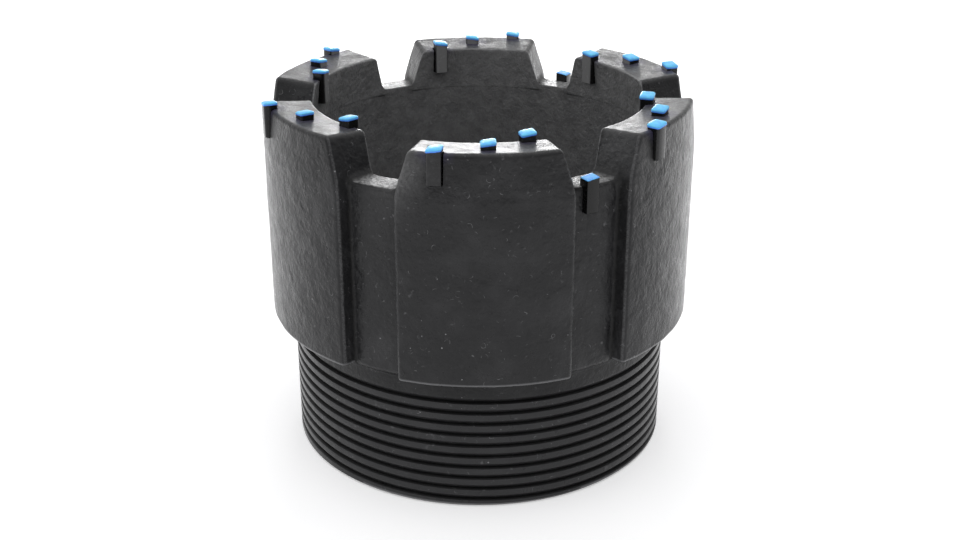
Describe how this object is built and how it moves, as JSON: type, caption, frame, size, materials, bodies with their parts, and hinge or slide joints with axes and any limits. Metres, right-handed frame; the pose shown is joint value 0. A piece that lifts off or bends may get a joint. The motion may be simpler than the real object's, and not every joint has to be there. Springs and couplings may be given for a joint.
{
  "type": "threaded ring bit",
  "caption": "Steel ring bit for core and casing drilling, with a left-hand outside thread, raised pads, a notched crown and square carbide inserts with blue ends.",
  "frame": {"origin": "middle of the thread end, on the face that the bit stands on", "axes": "+Z along the bit's axis from the thread to the crown, -Y through the middle of the first crown segment"},
  "size_m": [0.1486, 0.15, 0.1295],
  "materials": {
    "painted_steel": "satin black paint over cast and turned steel, finely pitted, worn pale on edges",
    "coated_carbide": "cutting ends painted bright blue, bars below dark satin carbide"
  },
  "bodies": {
    "root": {"bit_body": "painted_steel", "outer_insert_1": "coated_carbide", "outer_insert_2": "coated_carbide", "outer_insert_3": "coated_carbide", "outer_insert_4": "coated_carbide", "outer_insert_5": "coated_carbide", "outer_insert_6": "coated_carbide", "middle_insert_1": "coated_carbide", "middle_insert_2": "coated_carbide", "middle_insert_3": "coated_carbide", "middle_insert_4": "coated_carbide", "middle_insert_5": "coated_carbide", "middle_insert_6": "coated_carbide", "inner_insert_1": "coated_carbide", "inner_insert_2": "coated_carbide", "inner_insert_3": "coated_carbide", "inner_insert_4": "coated_carbide", "inner_insert_5": "coated_carbide", "inner_insert_6": "coated_carbide", "waterway_insert_1": "coated_carbide", "waterway_insert_2": "coated_carbide", "waterway_insert_3": "coated_carbide"}
  },
  "joints": []
}
